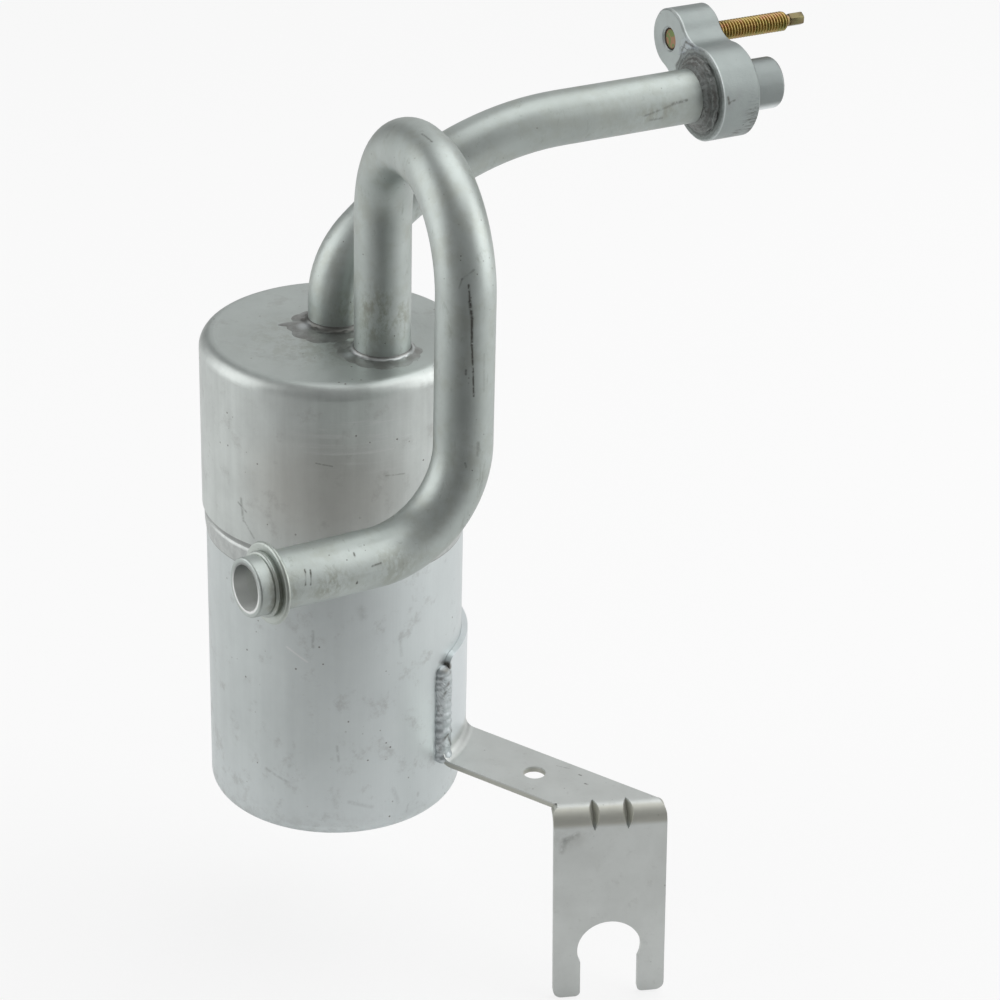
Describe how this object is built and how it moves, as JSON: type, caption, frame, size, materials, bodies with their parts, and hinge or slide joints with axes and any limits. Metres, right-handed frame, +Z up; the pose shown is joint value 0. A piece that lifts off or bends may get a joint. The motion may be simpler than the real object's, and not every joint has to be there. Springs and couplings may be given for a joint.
{
  "type": "air conditioning accumulator",
  "caption": "Upright aluminium accumulator with bent inlet and outlet pipes, a bolted peanut block and a welded mounting bracket; it holds back liquid refrigerant.",
  "frame": {"origin": "centre of the canister's flat base", "axes": "+Z up along the canister's axis, +X towards the bracket and the inlet block, -Y towards the viewer and the outlet pipe's drop leg"},
  "size_m": [0.1733, 0.2145, 0.2671],
  "materials": {
    "cover_aluminium": "satin, drawn",
    "body_aluminium": "satin, drawn with faint upright streaks",
    "girth_weld_metal": "smooth weld",
    "outlet_tube_metal": "satin, bent tube",
    "inlet_tube_metal": "satin, bent tube",
    "outlet_braze_metal": "brazed, flux burnt",
    "inlet_braze_metal": "brazed, flux burnt",
    "block_aluminium": "machined",
    "block_braze_metal": "brazed, flux burnt",
    "stud_zinc": "yellow zinc plate",
    "bracket_sheet": "pressed sheet",
    "front_weld_metal": "rippled weld bead",
    "rear_weld_metal": "rippled weld bead",
    "pickup_tube_metal": "plain tube",
    "baffle_metal": "pressed sheet",
    "filter_housing_plastic": "moulded",
    "filter_screen_mesh": "woven mesh",
    "filter_cap_plastic": "moulded",
    "near_bag_felt": "felt",
    "far_bag_felt": "felt",
    "strap_plastic": "moulded"
  },
  "bodies": {
    "root": {"upper_shell": "cover_aluminium", "lower_shell": "body_aluminium", "girth_weld": "girth_weld_metal", "outlet_tube": "outlet_tube_metal", "inlet_tube": "inlet_tube_metal", "outlet_braze": "outlet_braze_metal", "inlet_braze": "inlet_braze_metal", "inlet_block": "block_aluminium", "block_braze": "block_braze_metal", "fixing_stud": "stud_zinc", "mounting_bracket": "bracket_sheet", "bracket_weld_front": "front_weld_metal", "bracket_weld_rear": "rear_weld_metal", "pickup_tube": "pickup_tube_metal", "baffle_cap": "baffle_metal", "filter_housing": "filter_housing_plastic", "filter_screen": "filter_screen_mesh", "filter_cap": "filter_cap_plastic", "desiccant_bag_near": "near_bag_felt", "desiccant_bag_far": "far_bag_felt", "bag_strap": "strap_plastic"}
  },
  "joints": []
}
